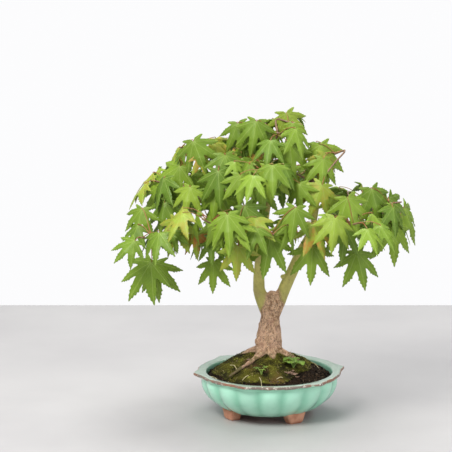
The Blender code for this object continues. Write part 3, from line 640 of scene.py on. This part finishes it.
for part in wood_parts:
    part.select_set(True)
bpy.context.view_layer.objects.active = wood_parts[0]
bpy.ops.object.join()
wood = bpy.context.object
wood.name = "wood"
bpy.ops.object.transform_apply(location=True, rotation=True, scale=True)
fuse = wood.modifiers.new("fuse", "REMESH")
fuse.mode, fuse.voxel_size = "VOXEL", WOOD_GRID
apply_to(wood, fuse)
relax = wood.modifiers.new("relax", "SMOOTH")
relax.factor, relax.iterations = 0.5, 6
apply_to(wood, relax)
wood_young = []
outwards = [corner.normal.copy() for corner in wood.data.vertices]
for corner, out in zip(wood.data.vertices, outwards):
    p = corner.co.copy()
    z = p.z / MM
    middle = max(0, 1 - (abs(p.x / MM - 3.5) / 12) ** 2)
    old = 1 - min(1, max(0, (z + 8 * noise(p * 90) - OLD_BARK_TOP - FORK_BARK * middle) / 6))
    thick = 1 if z < LIMB_TOP and abs(p.x) < 45 * MM and abs(p.y) < 12 * MM else 0.25
    ridge = noise(Vector((p.x * 420, p.y * 420, p.z * 170)))
    lump = noise(p * 110)
    fleck = noise(p * 900)
    corner.co += out * MM * (old * (0.75 * lump + 0.24 * ridge + 0.18 * fleck)
                             + (1 - old) * thick * (0.30 * lump + 0.06 * ridge))
    wood_young.append(1 - old)
note(wood, "young", wood_young)
wood.data.shade_smooth()

bark = Look("maple_bark")
plates = bark.noise(330, 5, 0.7, 0.5, place=bark.stretch((1.0, 1.0, 0.55)))
freckle = bark.band(bark.cells(620), 0.36, 0.14)
rough_bark = bark.mix(bark.band(plates, 0.38, 0.62), (0.28, 0.145, 0.074), (0.76, 0.50, 0.315))
rough_bark = bark.mottle(rough_bark, (0.66, 0.40, 0.28), 70, 0.42, 0.66, share=0.5)
rough_bark = bark.mix(bark.times(freckle, 0.55), rough_bark, (0.72, 0.58, 0.44))
rough_bark = bark.mottle(rough_bark, (0.085, 0.05, 0.032), 800, 0.575, 0.64, share=0.75, detail=4)
rings = bark.noise(90, 4, 0.6, 0.6, place=bark.stretch((0.9, 0.9, 0.5)))
young_bark = bark.mix(bark.band(rings, 0.3, 0.75), (0.40, 0.37, 0.085), (0.62, 0.565, 0.17))
young_bark = bark.mottle(young_bark, (0.45, 0.34, 0.15), 50, 0.5, 0.7, share=0.5)
young_bark = bark.mottle(young_bark, (0.20, 0.13, 0.06), 700, 0.60, 0.68, share=0.5)
bark_colour = bark.mix(bark.attribute("young"), rough_bark, young_bark)
bark_axes = bark.axes()
high = bark_axes["Z"]
outward = bark.math("ADD", bark.math("ABSOLUTE", bark_axes["X"]), bark.math("ABSOLUTE", bark_axes["Y"]))
thin = bark.math("ADD", bark.band(outward, 0.045, 0.075), bark.band(high, 0.19, 0.225))
bark_colour = bark.mix(bark.math("MINIMUM", thin, 1.0), bark_colour, (0.15, 0.085, 0.045))
creep = bark.times(bark.band(high, 0.068, 0.052), bark.band(bark.noise(230, 4), 0.44, 0.56))
bark_colour = bark.mix(creep, bark_colour, (0.11, 0.105, 0.018))
# the bark is made darker towards the bottom, in the last few millimetres above the moss
darker_low = bark.band(high, 0.066, 0.050)
bark_colour = bark.mix(bark.times(darker_low, 0.5), bark_colour, (0.10, 0.065, 0.04))
bark_rough = bark.math("MULTIPLY_ADD", bark.attribute("young"), -0.25, 0.85)
bark_bump = bark.bump(plates, 0.0009, 0.75, under=bark.grain(900, 0.0003, 0.6))
dress(wood, bark.finish(bark_colour, bark_rough, bark_bump))
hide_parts("trunk", *branches)

# --------------------------------------
# Leafy shoots. Each is a twig with pairs of long thin stalks, and on each stalk a hanging palmate
# leaf, saw-edged, with a vein down every lobe. Their places are read from the shoots' own solids.

SEVEN = [(0, 1.0), (36, 0.92), (72, 0.68), (112, 0.34)]
FIVE = [(0, 1.0), (40, 0.86), (82, 0.54)]
DROOP = 0.16
FOLD = 0.34
HEEL = 1.4 * MM
HUB_EDGES = 14
HUB_THICK = 2.5 * MM
STALK_NEAR = 0.7 * MM
TWIG_NEAR = 1.9 * MM
TOOTH, NOTCH = 1.12, 0.86
RIB_SUNK, BLADE_RAISED = -0.012, 0.030
INNER_RING = 0.4
BLADE_THICK = 0.22 * MM


def read_shoot(node):
    """The leaves of a shoot, each with its heart, directions, length and stalk, and the twig's ends."""
    work = clean_copy(node)
    used, leaves = set(), []
    hubs = [v for v in work.verts if len(v.link_edges) >= HUB_EDGES]
    while hubs:
        one = hubs.pop()
        twin = min(hubs, key=lambda v: (v.co - one.co).length, default=None)
        if twin is None or (twin.co - one.co).length > HUB_THICK:
            continue
        hubs.remove(twin)
        heart = (one.co + twin.co) / 2
        rim = [e.other_vert(one) for e in one.link_edges]
        tip = max(rim, key=lambda v: (v.co - heart).length)
        middle = sum((v.co for v in rim), Vector()) / len(rim)
        up = (one.co - twin.co).normalized()
        if (middle - heart).dot(up) > 0:
            up = -up
        length = (tip.co - heart).length / sqrt(1 + DROOP ** 2)
        along = (tip.co - heart + up * DROOP * length).normalized()
        up = (up - along * up.dot(along)).normalized()
        heel = heart - along * HEEL
        blade = set(rim) | {e.other_vert(twin) for e in twin.link_edges} | {one, twin}
        ring = [v for v in blade if (v.co - heel).length < STALK_NEAR]
        knee = {e.other_vert(v) for v in ring for e in v.link_edges} - blade
        base = {e.other_vert(v) for v in knee for e in v.link_edges} - knee - blade
        used |= blade | knee | base
        if not knee or not base:
            continue
        leaves.append({"heart": heart, "along": along, "up": up, "length": length, "heel": heel,
                       "lobes": SEVEN if len(rim) > 19 else FIVE,
                       "knee": sum((v.co for v in knee), Vector()) / len(knee),
                       "base": sum((v.co for v in base), Vector()) / len(base)})
    rest = [v.co.copy() for v in work.verts if v not in used]
    work.free()
    ends = max(((a, b) for a in rest for b in rest), key=lambda pair: (pair[0] - pair[1]).length)
    caps = [[p for p in rest if (p - end).length < TWIG_NEAR] for end in ends]
    ends = [sum(cap, Vector()) / len(cap) for cap in caps]
    ends.sort(key=lambda p: min(skin.find_nearest(p)[3] for skin in wood_skins))
    middle = [p for p in rest if min((p - end).length for end in ends) > 3 * MM]
    halfway = (ends[0] + ends[1]) / 2
    bend = sum(middle, Vector()) / len(middle) if middle else halfway
    bend = min((bend, halfway), key=lambda p: (p - halfway).length)
    return leaves, [ends[0], bend, ends[1]]


class Growth:
    """Points, faces, places on the leaf and tints of one piece that is being grown."""

    def __init__(self):
        self.verts, self.faces, self.uvs, self.tints = [], [], [], []

    def point(self, co, tint):
        self.verts.append(co)
        self.tints.append(tint)
        return len(self.verts) - 1

    def face(self, corners, uvs, mirrored=False):
        self.faces.append(corners[::-1] if mirrored else corners)
        self.uvs.append(uvs[::-1] if mirrored else uvs)

    def make(self, name):
        made = new_mesh(name, self.verts, self.faces)
        layer = made.data.uv_layers.new(name="leaf")
        flat = [number for face in self.uvs for pair in face for number in pair]
        layer.data.foreach_set("uv", flat)
        note(made, "tint", self.tints)
        return made


def grow_blade(piece, leaf, tint, chance):
    """One saw-edged blade: rings of points round its heart, then a strip down each lobe."""
    lobes = leaf["lobes"]
    y, z, length = leaf["along"], leaf["up"], leaf["length"]
    x = y.cross(z)
    curl = chance.uniform(0.75, 1.35)
    ripple = chance.uniform(0, 40)
    arms = [(-a, q) for a, q in reversed(lobes[1:])] + list(lobes)
    gaps = []
    for (a, p), (b, q) in zip(arms, arms[1:]):
        gaps.append(((a + b) / 2, 0.50 * min(p, q) ** 0.8))
    gaps = [(arms[0][0] - 26, 0.3 * arms[0][1])] + gaps + [(arms[-1][0] + 26, 0.3 * arms[-1][1])]

    def place(across, ahead, fold):
        px, py = across * length, ahead * length
        reach2 = px * px + py * py
        sag = -DROOP * reach2 / length * curl - FOLD * abs(px)
        wave = 0.020 * length * noise(Vector((px * 130 + ripple, py * 130, ripple)))
        return leaf["heart"] + x * px * (1 - FOLD ** 2 / 2) + y * py + z * (sag + fold * length + wave)

    def polar(angle, reach, fold):
        return place(sin(radians(angle)) * reach, cos(radians(angle)) * reach, fold)

    heart = piece.point(leaf["heart"].copy(), tint)
    inner = (INNER_RING, 1.0)
    gap_rows = [[piece.point(polar(a, reach * f, BLADE_RAISED * f), tint) for f in inner]
                for a, reach in gaps]
    for k, (angle, size) in enumerate(arms):
        start = 0.40 * size
        rib = [piece.point(polar(angle, start * f, RIB_SUNK * f), tint) for f in inner]
        for side, near in ((-1, k), (1, k + 1)):
            row, (gap_angle, gap_reach) = gap_rows[near], gaps[near]
            mirrored = side > 0
            off = radians(gap_angle - angle)
            wide0, ahead0 = gap_reach * abs(sin(off)), gap_reach * cos(off)
            if abs(gap_angle) > abs(angle) and k in (0, len(arms) - 1):
                ahead0 = max(ahead0, 0.02)

            def uv(wide, ahead):
                return (0.5 + side * wide, ahead)

            inner_rib = uv(0, start * INNER_RING)
            inner_row = uv(wide0 * INNER_RING, ahead0 * INNER_RING)
            before_rib, before_edge = rib[1], row[1]
            before_uv = (uv(0, start), uv(wide0, ahead0))
            piece.face((heart, rib[0], row[0]), (uv(0, 0), inner_rib, inner_row), mirrored)
            piece.face((rib[0], rib[1], row[1], row[0]), (inner_rib, *before_uv, inner_row), mirrored)
            steps = 12 if size > 0.6 else 7
            for step in range(1, steps + 1):
                t = step / steps
                rib_ahead = start + (size - start) * t
                if side < 0:
                    rib.append(piece.point(polar(angle, rib_ahead, RIB_SUNK * (1 - t)), tint))
                rib_now = rib[len(inner) + step - 1]
                if step == steps:
                    piece.face((before_rib, rib_now, before_edge), (before_uv[0], uv(0, size), before_uv[1]),
                               mirrored)
                    break
                wide = wide0 * (1 - t) ** 1.2 + 0.052 * size * sin(pi * t ** 0.85)
                tooth = step % 2 and step > 4
                wide *= TOOTH if tooth else NOTCH
                ahead = ahead0 + (size - ahead0) * t + (0.018 if tooth else 0.0)
                turn = radians(angle)
                px = sin(turn) * ahead + side * cos(turn) * wide
                py = cos(turn) * ahead - side * sin(turn) * wide
                edge = piece.point(place(px, py, BLADE_RAISED * (1 - t) + 0.25 * wide), tint + 0.02)
                now_uv = (uv(0, rib_ahead), uv(wide, ahead))
                piece.face((before_rib, rib_now, edge, before_edge), (before_uv[0], *now_uv, before_uv[1]),
                           mirrored)
                before_rib, before_edge, before_uv = rib_now, edge, now_uv


def grow_stem(piece, route, radii, tint, sides=6):
    """A round stem along a smooth route, closed at both ends."""
    rows = smooth_through([[*p, r] for p, r in zip(route, radii)], 4)
    points = [Vector(row[:3]) for row in rows]
    side = (points[1] - points[0]).orthogonal().normalized()
    rings = []
    for k, (point, row) in enumerate(zip(points, rows)):
        way = (points[min(k + 1, len(points) - 1)] - points[max(k - 1, 0)]).normalized()
        side = (side - way * side.dot(way)).normalized()
        other = way.cross(side)
        rings.append([piece.point(point + (side * cos(a) + other * sin(a)) * row[3], tint)
                      for a in (2 * pi * s / sides for s in range(sides))])
    for near, far in zip(rings, rings[1:]):
        for s in range(sides):
            n = (s + 1) % sides
            piece.face((near[s], near[n], far[n], far[s]), ((0.5, 0),) * 4)
    piece.face(tuple(reversed(rings[0])), ((0.5, 0),) * sides)
    piece.face(tuple(rings[-1]), ((0.5, 0),) * sides)


# how far a point of a leaf lies from its midrib, and how far along it
leaf_group, taken, given = new_group(
    "leaf_place", dict(Place="Vector"), dict(Across="Float", Along="Float"))
apart = leaf_group.nodes.new("ShaderNodeSeparateXYZ")
sideways, distance = (leaf_group.nodes.new("ShaderNodeMath") for _ in range(2))
sideways.operation, distance.operation = "SUBTRACT", "ABSOLUTE"
link_all(leaf_group, (taken["Place"], apart.inputs["Vector"]), (apart.outputs["X"], sideways.inputs[0]),
         (sideways.outputs[0], distance.inputs[0]), (distance.outputs[0], given["Across"]),
         (apart.outputs["Y"], given["Along"]))


def thicken(blades, thick):
    """Gives flat blades their thickness, half to each side."""
    body = blades.modifiers.new("thickness", "SOLIDIFY")
    body.thickness, body.offset = thick, 0.0
    apply_to(blades, body)


maple = Look("maple_leaf")
on_leaf = maple.use(leaf_group, Place=maple.uv())
across, ahead = on_leaf["Across"], on_leaf["Along"]
midrib = maple.band(across, 0.013, 0.004)
feather = maple.math("SUBTRACT", ahead, maple.times(across, 1.25))
comb = maple.math("ABSOLUTE", maple.math("SINE", maple.times(feather, 42.0)))
veinlets = maple.times(maple.band(comb, 0.22, 0.04), 0.55)
veins = maple.math("MAXIMUM", midrib, veinlets)
tint = maple.attribute("tint")
blotch = maple.noise(75, 4)
shade = maple.uneven(tint, blotch, 0.5)
leaf_colour = maple.mix(maple.band(shade, 0.0, 1.0), (0.085, 0.165, 0.010), (0.215, 0.335, 0.024))
pale = maple.times(maple.band(shade, 0.75, 1.25), 0.5)
leaf_colour = maple.mix(pale, leaf_colour, (0.33, 0.40, 0.045))
red_leaf = maple.band(tint, 1.45, 1.75)
red_spots = maple.times(red_leaf, maple.band(maple.noise(120, 4), 0.42, 0.62))
leaf_colour = maple.mix(red_spots, leaf_colour, (0.46, 0.16, 0.035))
leaf_colour = maple.mix(maple.times(veins, 0.42), leaf_colour, (0.36, 0.46, 0.11))
leaf_bump = maple.bump(veins, 0.0003, 0.6, under=maple.grain(500, 0.0004, 0.35))
leaf_rough = maple.math("MULTIPLY_ADD", blotch, 0.2, 0.38)
leaf_material = maple.finish(leaf_colour, leaf_rough, leaf_bump, Specular_IOR_Level=0.35)

stem = Look("leaf_stalk")
stem_colour = stem.mix(stem.band(stem.attribute("tint"), 0.4, 0.6),
                       stem.mottle((0.30, 0.075, 0.03), (0.27, 0.21, 0.04), 90, 0.35, 0.65),
                       stem.mottle((0.13, 0.065, 0.038), (0.28, 0.175, 0.09), 90, 0.2, 0.8))
stem_rough = stem.math("MULTIPLY_ADD", stem.noise(90), 0.2, 0.4)
stem_material = stem.finish(stem_colour, stem_rough, stem.grain(900, 0.0002, 0.4))

wood_skins = [skin_of(name) for name in ["trunk"] + branches]
for node in sorted(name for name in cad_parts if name.startswith("shoot_")):
    leaves, twig = read_shoot(node)
    number = node[-2:]
    chance = random.Random(100 + int(number))
    blades, stems = Growth(), Growth()
    start, bend, end = twig
    root = min((skin.find_nearest(start) for skin in wood_skins), key=lambda found: found[3])[0]
    stretch = (root - start).normalized() * 0.8 * MM
    grow_stem(stems, [root + stretch, start, bend, end, end + (end - bend).normalized() * 1.6 * MM],
              [1.15 * MM, 0.95 * MM, 0.8 * MM, 0.8 * MM, 0.25 * MM], 1.0, 8)
    redness = chance.random()
    for leaf in leaves:
        tint_of = chance.gauss(0.55, 0.22)
        if redness > 0.72 and chance.random() < 0.4:
            tint_of = chance.uniform(1.5, 1.75)
        grow_blade(blades, leaf, tint_of, chance)
        foot_of = leaf["base"] + (leaf["base"] - leaf["knee"]).normalized() * 0.3 * MM
        grow_stem(stems, [foot_of, leaf["knee"], leaf["heel"], leaf["heart"] - leaf["up"] * 0.1 * MM],
                  [0.58 * MM, 0.34 * MM, 0.36 * MM, 0.25 * MM], 0.0)
    leafage = blades.make("leaves_" + number)
    thicken(leafage, BLADE_THICK)
    dress(leafage, leaf_material)
    stalks = stems.make("stalks_" + number)
    dress(stalks, stem_material)
    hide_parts(node)
    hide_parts(node)

# --------------------------------------
# Seedlings. Clover at the right of the trunk and a finer tuft in front of it, wild in the moss:
# round creased leaflets in threes on thin upright stalks.

sprig = Look("clover")
crease = sprig.use(leaf_group, Place=sprig.uv())["Across"]
clover_tone = sprig.uneven(sprig.attribute("tint"), sprig.noise(400, 3), 0.5)
clover_colour = sprig.mix(sprig.band(clover_tone, 0.0, 1.0), (0.065, 0.150, 0.012), (0.21, 0.34, 0.04))
clover_colour = sprig.mix(sprig.band(crease, 0.05, 0.0), clover_colour, (0.28, 0.42, 0.09))
clover_material = sprig.finish(clover_colour, 0.5, sprig.grain(1200, 0.0002, 0.4))


def grow_leaflet(piece, base, way, length, width, tint):
    """A creased oval leaflet that droops a little to its tip."""
    side = way.cross(Vector((0, 0, 1))).normalized()
    rib, left, right = [], [], []
    steps = 6
    for k in range(steps + 1):
        t = k / steps
        middle = base + way * length * t - Vector((0, 0, 0.25)) * length * t * t
        wide = width * sin(pi * min(0.96, 0.10 + 0.86 * t) ** 1.25)
        rib.append(piece.point(middle, tint))
        left.append(piece.point(middle - side * wide + Vector((0, 0, 0.35 * wide)), tint + 0.1))
        right.append(piece.point(middle + side * wide + Vector((0, 0, 0.35 * wide)), tint + 0.1))
    for k in range(steps):
        n = k + 1
        low, high = k / steps, n / steps
        piece.face((rib[k], rib[n], left[n], left[k]), ((0.5, low), (0.5, high), (0, high), (0, low)))
        piece.face((right[k], right[n], rib[n], rib[k]), ((1, low), (1, high), (0.5, high), (0.5, low)))


LEAFLET_THICK = 0.25 * MM
chance = random.Random(21)
for name, (x, y), clover, leaf_size, per_stalk in (
        ("seedling_right", (22, -30), [(20, 7, 5), (95, 8, 4), (160, 7, 6), (-60, 7, 5), (-120, 6, 7)],
         5.2, 3),
        ("seedling_front", (-8, -42), [(10, 5, 4), (120, 5, 5), (-100, 5, 5)], 3.6, 4)):
    where = degrees(atan2(x, -y))
    root = Vector((x, y, mound(sqrt(x * x + y * y), where) + 2.4)) * MM
    blades, stems = Growth(), Growth()
    for turn, reach, lift in clover:
        way = around(turn, 1.0, 0) / MM
        tip = root + way * reach * 0.8 * MM + Vector((0, 0, 2.2 + lift * 0.8)) * MM
        knee = root + way * reach * 0.3 * MM + Vector((0, 0, 1.2 + lift * 0.5)) * MM
        grow_stem(stems, [root - Vector((0, 0, 0.8 * MM)), knee, tip], [0.45 * MM, 0.3 * MM, 0.26 * MM], 0.4)
        for leaflet in range(per_stalk):
            spin = turn + 180 + leaflet * 360 / per_stalk + chance.uniform(-15, 15)
            out = (around(spin, 1.0, 0) / MM + Vector((0, 0, chance.uniform(-0.15, 0.3)))).normalized()
            size = leaf_size * chance.uniform(0.8, 1.1) * MM
            width = size * (0.56 if per_stalk == 3 else 0.22)
            grow_leaflet(blades, tip + out * 0.2 * MM, out, size, width, chance.uniform(0.2, 0.9))
    leafage = blades.make(name + "_leaves")
    thicken(leafage, LEAFLET_THICK)
    stalks = stems.make(name + "_stalks")
    for piece in (leafage, stalks):
        dress(piece, clover_material)
        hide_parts(name)

# --------------------------------------
# Litter. A few dry straws and flakes of pinkish bark that have dropped on the moss and the soil.
# Each lies loose where it fell, most of the flakes in one heap in front of the clover.

FLAKES, HEAPED = 16, 10
BARE_AROUND_TRUNK = 24
FLAKE_SIDES = 8

litter = Growth()
for start, end, lift in (
        ((-10, -45), (-8, -55), 2.2), ((-56, -10), (-49, -27), 1.6), ((-37, -12), (-31, -25), 3.4),
        ((-20, -40), (-26, -44), 2.8), ((6, -48), (12, -46), 2.6), ((40, 10), (47, 4), 1.4)):
    ends = [Vector((x, y, top_of(x, y) + 0.6)) * MM for x, y in (start, end)]
    middle = (ends[0] + ends[1]) / 2 + Vector((0.6, 0.4, lift * 0.5)) * MM
    grow_stem(litter, [ends[0], middle, ends[1]], [0.4 * MM, 0.36 * MM, 0.28 * MM], 0.15)
chance = random.Random(4)
for count in range(FLAKES):
    x, y = (chance.gauss(20, 3.2), chance.gauss(-39, 1.8)) if count < HEAPED else (
        chance.uniform(-40, 45), chance.uniform(-45, 45))
    if sqrt(x * x + y * y) < BARE_AROUND_TRUNK:
        continue
    centre = Vector((x, y, top_of(x, y) + 0.7)) * MM
    turn = Matrix.Rotation(chance.uniform(0, 2 * pi), 3, "Z") @ Matrix.Rotation(chance.gauss(0, 0.3), 3, "X")
    size = Vector((chance.uniform(1.6, 3.0), chance.uniform(0.8, 1.6), 0.35)) * MM
    tone = chance.uniform(0.6, 1.0)
    rings = []
    for level in (-1, 1):
        rings.append([litter.point(centre + turn @ Vector((
            cos(k * pi / 4) * size.x * (0.9 + 0.2 * sin(3 * k + count)), sin(k * pi / 4) * size.y,
            level * size.z + 0.3 * size.y * cos(k * pi / 2))), tone) for k in range(FLAKE_SIDES)])
    for k in range(FLAKE_SIDES):
        n = (k + 1) % FLAKE_SIDES
        litter.face((rings[0][k], rings[0][n], rings[1][n], rings[1][k]), ((0.5, 0),) * 4)
    litter.face(tuple(reversed(rings[0])), ((0.5, 0),) * FLAKE_SIDES)
    litter.face(tuple(rings[1]), ((0.5, 0),) * FLAKE_SIDES)
straw = Look("dry_litter")
litter_colour = straw.mix(straw.band(straw.attribute("tint"), 0.3, 0.5),
                          straw.mottle((0.42, 0.36, 0.17), (0.62, 0.55, 0.33), 500, 0.2, 0.8),
                          straw.mottle((0.17, 0.095, 0.06), (0.43, 0.28, 0.20), 500, 0.3, 0.7))
litter_material = straw.finish(litter_colour, 0.8, straw.grain(500, 0.0004, 0.6))
dress(litter.make("litter"), litter_material)

# --------------------------------------
# Floor, light and camera. A plain pale table top, and soft light from above and both sides. The
# camera stands well back in front of the tree and looks down on it a little.

CAMERA_DROP = 10.5

bpy.ops.mesh.primitive_plane_add(size=1, location=(0, -0.76, 0))
floor = bpy.context.object
floor.name = "table_top"
floor.scale = (6.0, 2.48, 1.0)
bpy.ops.object.transform_apply(location=True, rotation=True, scale=True)
table = Look("pale_table")
floor.data.materials.append(table.finish(
    table.mottle((0.40, 0.39, 0.39), (0.46, 0.45, 0.445), 6, 0.2, 0.8, detail=4), 0.45,
    table.grain(300, 0.0004, 0.2)))

world = bpy.data.worlds.new("studio")
bpy.context.scene.world = world
world.use_nodes = True
sky = world.node_tree
soft = sky.nodes["Background"]
soft.inputs["Color"].default_value = (0.95, 0.97, 1.0, 1)
soft.inputs["Strength"].default_value = 0.5
wall = sky.nodes.new("ShaderNodeBackground")
wall.inputs["Color"].default_value = (0.975, 0.975, 0.985, 1)
seen = sky.nodes.new("ShaderNodeMixShader")
sky.links.new(sky.nodes.new("ShaderNodeLightPath").outputs["Is Camera Ray"], seen.inputs[0])
sky.links.new(soft.outputs[0], seen.inputs[1])
sky.links.new(wall.outputs[0], seen.inputs[2])
sky.links.new(seen.outputs[0], sky.nodes["World Output"].inputs["Surface"])


def soft_light(name, place, aim, size, power, colour):
    lamp = bpy.data.lights.new(name, "AREA")
    lamp.shape, lamp.size, lamp.energy, lamp.color = "SQUARE", size, power, colour
    made = bpy.data.objects.new(name, lamp)
    made.location = place
    made.rotation_euler = (Vector(aim) - Vector(place)).to_track_quat("-Z", "Y").to_euler()
    bpy.context.scene.collection.objects.link(made)


soft_light("key", (-0.7, -1.0, 1.4), (0, 0, 0.15), 0.7, 30, (1.0, 0.985, 0.96))
soft_light("fill", (1.3, -0.9, 0.8), (0, 0, 0.15), 1.0, 7, (0.97, 0.98, 1.0))
soft_light("top", (0.1, 0.3, 1.5), (0, 0, 0.15), 0.8, 20, (1.0, 1.0, 1.0))

camera = bpy.data.cameras.new("camera")
camera.lens, camera.sensor_width = 191.15, 36
eye = bpy.data.objects.new("camera", camera)
eye.location = (-0.041, -2.215, 0.592)
eye.rotation_euler = (radians(90 - CAMERA_DROP), 0, 0)
bpy.context.scene.collection.objects.link(eye)
bpy.context.scene.camera = eye
bpy.context.scene.view_settings.view_transform = "Standard"
